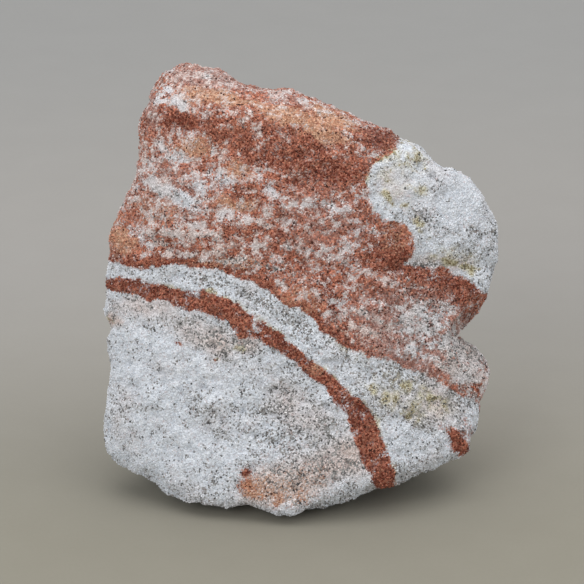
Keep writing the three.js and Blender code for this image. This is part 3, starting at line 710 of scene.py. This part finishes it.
# How much a grain's chance counts beside a field and what is taken off their sum, between which values
# the colour goes over to the next, and how far it goes
RUST_CHANCE, RUST_BOUND = 1.1, 0.5
TONE_CHANCE, TONE_BOUND = 0.6, 0.3
TAN_RISE, PINK_RISE, MOST_PINK = (0, 0.8), (0, 1), 0.7
STAINED_RISE, STAINED_GREY = (0.2, 0.7), 0.6
GREY_RISE, DARK_RISE = (-0.06, 0.06), (-0.01, 0.01)
OCHRE_TINT, OCHRE_GRAINS, OCHRE_RISE = 1.3, 0.9, (0, 0.3)
RED_CHANCE, RED_RISE = 0.65, (-0.22, 0.52)


def grain_colour(start, chance):
    """Colour of a grain: its fields say how likely each colour is, and its three chances pick one. The
    colour goes over to the next where a field, and mostly a chance with it, passes a bound."""
    names = ("iron", "tint", "specks")
    fields = [start.node("ShaderNodeAttribute", {"attribute_name": name}, {}, "Vector") for name in names]
    iron, tint, specks = [field.parts() for field in fields]
    red_share, darkness, tan = iron
    pink, beige, ochre = tint
    grey_share, dark_and_pit_shade_share, unlike = specks
    first, second, third = chance.parts()
    pairs = {kind: [colour(*steps) for steps in pair] for kind, pair in GRAIN_COLOURS.items()}
    shine = third.reroll(5.17)

    rust = (darkness + first.reroll(7.31) * RUST_CHANCE - RUST_BOUND).blend(*pairs["rust"])
    tanned = second.reroll(3.3).blend(*pairs["tan"])
    pinkish = second.reroll(4.7).blend(*pairs["pink"])
    red = (tan + second * TONE_CHANCE - TONE_BOUND).rise(*TAN_RISE).blend(rust, tanned)
    red = ((pink + third * TONE_CHANCE - TONE_BOUND).rise(*PINK_RISE) * MOST_PINK).blend(red, pinkish)

    white = beige.rise(0, 1).blend(shine.blend(*pairs["clean"]), shine.blend(*pairs["warm"]))
    stained = red_share.rise(*STAINED_RISE)
    grey = (stained * STAINED_GREY).blend(first.reroll(9.7).blend(*pairs["grey"]), colour(*RUSTY_GREY))
    white = (grey_share - third.reroll(2.9)).rise(*GREY_RISE).blend(white, grey)
    white = (ochre * OCHRE_TINT).rise(0, 1).blend(white, colour(*OCHRE_WHITE))
    yellow = shine.blend(*pairs["ochre"])
    white = (ochre * OCHRE_GRAINS - second.reroll(6.1)).rise(*OCHRE_RISE).blend(white, yellow)

    grain = (red_share - RED_CHANCE * first).rise(*RED_RISE).blend(white, red)
    # A dark speck: partly a dark grain, partly painted shade of the pits and cracks between grains
    dark_grain_and_pit_shade = stained.blend(second.reroll(8.9).blend(*pairs["dark"]), colour(*RUSTY_DARK_AND_PIT_SHADE))
    painted = (dark_and_pit_shade_share - third).rise(*DARK_RISE).blend(grain, dark_grain_and_pit_shade)
    # Each grain brighter or darker at random: partly its own tone, partly painted shade and highlight
    tone_and_painted_shading = 1 + unlike * (first.reroll(4.3) - 0.5) * TONE_AND_PAINTED_SHADING_RANGE
    return start.node("ShaderNodeVectorMath", {"operation": "SCALE"}, {0: painted, "Scale": tone_and_painted_shading})


def sandstone(name, chance_of):
    """Sandstone with one colour to a grain. chance_of adds the nodes that give a grain its chances."""
    material = bpy.data.materials.new(name)
    material.use_nodes = True
    shader = material.node_tree.nodes["Principled BSDF"]
    shader.inputs["Roughness"].default_value = 0.88
    shader.inputs["Specular IOR Level"].default_value = 0.3
    start = Shade(material.node_tree)
    painted = grain_colour(start, chance_of(start))
    material.node_tree.links.new(painted.socket, shader.inputs["Base Color"])
    return material


def skin_cells(start, output):
    """The skin's own grains, a grain's size apart: each point belongs to the nearest scattered spot."""
    place = start.node("ShaderNodeTexCoord", {}, {}, "Object")
    return start.node("ShaderNodeTexVoronoi", {}, {0: place, "Scale": 1 / (GRAIN_SIZE * MILLIMETRE)}, output)


skin_material = sandstone("sandstone skin", lambda start: skin_cells(start, "Color"))
start = Shade(skin_material.node_tree)
cell_height = 1 - skin_cells(start, "Distance")
bump = start.node("ShaderNodeBump", {}, {"Distance": GRAIN_SIZE / 2 * MILLIMETRE, "Height": cell_height})
skin_shader = skin_material.node_tree.nodes["Principled BSDF"]
skin_material.node_tree.links.new(bump.socket, skin_shader.inputs["Normal"])

skin = mesh_piece("stone_skin", stone_surface, stone_faces, skin_material)
skin.data.shade_smooth()
lay_flat(skin, stone_map)
carry(skin, sand_fields(stone_surface))
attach(skin, "root")
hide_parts("stone")

# The loose-looking grains of sand that stand out of the skin all over: eight-sided, three to six
# tenths of a millimetre across, half sunk in the cement. They are too many for one piece.
GRAIN_PIECES = 4
GRAINS_IN_PIECE = 24800
FIRST_SEED = 100
GRAIN_RADIUS = (0.15, 0.30)
CORNER_PULLED = (0.72, 1.28)
GRAIN_STANDS_OUT = 0.15
LOWEST_GRAIN = 0.45
FRONT_CROWDING = 1.5
LOOKS_FRONT = 0.5
GRAIN_POINTS = np.array([(1, 0, 0), (-1, 0, 0), (0, 1, 0), (0, -1, 0), (0, 0, 1), (0, 0, -1)])
GRAIN_FACES = np.array([
    (0, 2, 4), (2, 1, 4), (1, 3, 4), (3, 0, 4), (2, 0, 5), (1, 2, 5), (3, 1, 5), (0, 3, 5),
])
# A grain laid flat: its upper half seen from above, and its lower faces folded out to a square
FLAT_GRAIN = GRAIN_POINTS[GRAIN_FACES][:, :, :2]
FLAT_GRAIN[4:, 2] = FLAT_GRAIN[4:].sum(axis=1)
FLAT_GRAINS_IN_ROW = 158
FLAT_GRAIN_SHARE = 0.38


def scattered_spots(draws, count):
    """Spots on the skin with the normal at each: a quad drawn in proportion to its area, more often on the
    face, and a place in it that is a random mix of its corners."""
    corners = stone_surface[stone_faces]
    normals = np.cross(corners[:, 2] - corners[:, 0], corners[:, 3] - corners[:, 1])
    area = np.linalg.norm(normals, axis=1)
    looks_front = normals[:, 1] < -LOOKS_FRONT * area
    share = area * np.where(looks_front, FRONT_CROWDING, 1) * (corners[:, :, 2].min(axis=1) > LOWEST_GRAIN)
    quads = draws.choice(len(area), size=count, p=share / share.sum())
    u, v = draws.random((2, count, 1))
    a, b, c, d = corners[quads].transpose(1, 0, 2)
    spots = (1 - u) * ((1 - v) * a + v * d) + u * ((1 - v) * b + v * c)
    return spots, normals[quads] / area[quads, None]


def grain_shapes(draws, spots, normals):
    """Corners of each grain: an eight-sided form, its six corners pulled in or out at random, turned to a
    random frame of three right-angled axes, and set a little out of the skin along the normal."""
    count = len(spots)
    first = draws.normal(size=(count, 3))
    first /= np.linalg.norm(first, axis=1, keepdims=True)
    second = np.cross(first, draws.normal(size=(count, 3)))
    second /= np.linalg.norm(second, axis=1, keepdims=True)
    axes = np.stack((first, second, np.cross(first, second)), axis=1)
    radius = draws.uniform(*GRAIN_RADIUS, size=(count, 1, 1))
    radius = radius * draws.uniform(*CORNER_PULLED, size=(count, 6, 1))
    middle = spots + normals * radius.mean(axis=1) * GRAIN_STANDS_OUT
    return middle[:, None] + np.einsum("pk,nkx->npx", GRAIN_POINTS, axes) * radius


grain_numbers = np.arange(GRAINS_IN_PIECE)
grain_cells = np.stack((grain_numbers % FLAT_GRAINS_IN_ROW, grain_numbers // FLAT_GRAINS_IN_ROW), axis=1)
grain_maps = (grain_cells[:, None, None] + 0.5 + FLAT_GRAIN_SHARE * FLAT_GRAIN) / FLAT_GRAINS_IN_ROW
grain_material = sandstone("sandstone grains", lambda start: start.node(
    "ShaderNodeAttribute", {"attribute_name": "chance"}, {}, "Vector"))
for number in range(GRAIN_PIECES):
    draws = np.random.default_rng(FIRST_SEED + number)
    spots, normals = scattered_spots(draws, GRAINS_IN_PIECE)
    corners = grain_shapes(draws, spots, normals)
    faces = (GRAIN_FACES + 6 * grain_numbers[:, None, None]).reshape(-1, 3)
    grains = mesh_piece(f"sand_grains_{number + 1}", corners.reshape(-1, 3), faces, grain_material)
    fields = {"chance": draws.random(spots.shape), **sand_fields(spots)}
    carry(grains, {name: np.repeat(values, 6, axis=0) for name, values in fields.items()})
    lay_flat(grains, grain_maps)
    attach(grains, "root")

# The floor: a sheet of pale paper, far wider than the picture, that lies flat under the stone.
FLOOR_HALF_SIZE = 3000
floor_corners = np.array([(-1, -1, 0), (1, -1, 0), (1, 1, 0), (-1, 1, 0)]) * FLOOR_HALF_SIZE
floor_face = np.array([(0, 1, 2, 3)])
paper = bpy.data.materials.new("pale paper")
paper.use_nodes = True
paper_shader = paper.node_tree.nodes["Principled BSDF"]
paper_shader.inputs["Roughness"].default_value = 0.95
paper_shader.inputs["Specular IOR Level"].default_value = 0.1
# How far behind the stone's middle, in metres, each change of the paper's colour starts and is whole.
# Both changes are painted shade: the paper is darker in front of the stone, painted shadow of the stone
# and of the light's falloff, and darker far behind it, painted falloff of the light.
NEAR_PAINTED_SHADE_FADE, FAR_PAINTED_SHADE_FADE = (-0.05, 0.14), (0.14, 0.3)
FINE_FIBRE, WIDE_FIBRE, LEAST_FIBRE = 0.25, 0.3, 0.22
start = Shade(paper.node_tree)
place = start.node("ShaderNodeTexCoord", {}, {}, "Object")
fine = start.node("ShaderNodeTexNoise", {}, {"Vector": place, "Scale": 1100, "Detail": 3})
wide = start.node("ShaderNodeTexNoise", {}, {"Vector": place, "Scale": 80, "Detail": 3})
fibre = fine * FINE_FIBRE + wide * WIDE_FIBRE + LEAST_FIBRE
backward = place.parts()[1]
# Painted shade: darker paper in front of the stone and far behind it, lighter halfway
near_painted_shade = fibre.blend(colour(135, 131, 119), colour(149, 145, 133))
halfway = fibre.blend(colour(150, 147, 143), colour(162, 159, 155))
far_painted_shade = fibre.blend(colour(144, 143, 141), colour(156, 155, 153))
paper_colour_and_painted_shade = backward.rise(*FAR_PAINTED_SHADE_FADE).blend(backward.rise(*NEAR_PAINTED_SHADE_FADE).blend(near_painted_shade, halfway), far_painted_shade)
paper.node_tree.links.new(paper_colour_and_painted_shade.socket, paper_shader.inputs["Base Color"])
floor = mesh_piece("paper_floor", floor_corners, floor_face, paper)

# Soft studio light: a large window of light overhead, and weaker ones in front and at the right.
# Each has a place in metres, a width, a power in watts and a tint.
LIGHTS = {
    "overhead": ((0.10, 0.05, 1.35), 2.0, 13.8, (1.0, 0.985, 0.965)),
    "front": ((-0.85, -1.55, 0.90), 1.2, 12.5, (0.98, 0.99, 1.0)),
    "right": ((1.30, -0.70, 0.45), 0.8, 1.8, (1.0, 0.98, 0.96)),
}
WORLD_LIGHT = 0.62
WORLD_TINT = (0.94, 0.97, 1.0, 1.0)


def aim(thing, target):
    """Turns a lamp or camera, which look along their own -Z, towards a point."""
    thing.rotation_euler = (target - thing.location).to_track_quat("-Z", "Y").to_euler()


middle = Vector((0, 0, MIDDLE_HEIGHT * MILLIMETRE))
for name, (place, size, watts, tint) in LIGHTS.items():
    lamp = bpy.data.lights.new(name, "AREA")
    lamp.shape = "DISK"
    lamp.size = size
    lamp.energy = watts
    lamp.color = tint
    light = bpy.data.objects.new(name, lamp)
    light.location = place
    bpy.context.collection.objects.link(light)
    aim(light, middle)

world = bpy.data.worlds.new("studio")
bpy.context.scene.world = world
world.use_nodes = True
world.node_tree.nodes["Background"].inputs["Color"].default_value = WORLD_TINT
world.node_tree.nodes["Background"].inputs["Strength"].default_value = WORLD_LIGHT
bpy.context.scene.view_settings.view_transform = "Standard"

# The camera: a long lens that looks down on the face at the angle of its outline plane.
CAMERA_DISTANCE = 1.6
CAMERA_REACH = 20
FRAME_WIDTH = 129.6
FRAME_CENTRE = (-1.8, -0.4)
SENSOR_WIDTH = 36
camera_data = bpy.data.cameras.new("camera")
camera_data.sensor_width = SENSOR_WIDTH
camera_data.lens = SENSOR_WIDTH * CAMERA_DISTANCE / (FRAME_WIDTH * MILLIMETRE)
camera_data.clip_end = CAMERA_REACH
camera = bpy.data.objects.new("camera", camera_data)
bpy.context.collection.objects.link(camera)
target = Vector(turn_by_lean(np.array([(*FRAME_CENTRE, 0)]))[0] * MILLIMETRE) + middle
back_off = Vector(turn_by_lean(np.array([(0, 0, -1)]))[0])
camera.location = target + back_off * CAMERA_DISTANCE
aim(camera, target)
bpy.context.scene.camera = camera
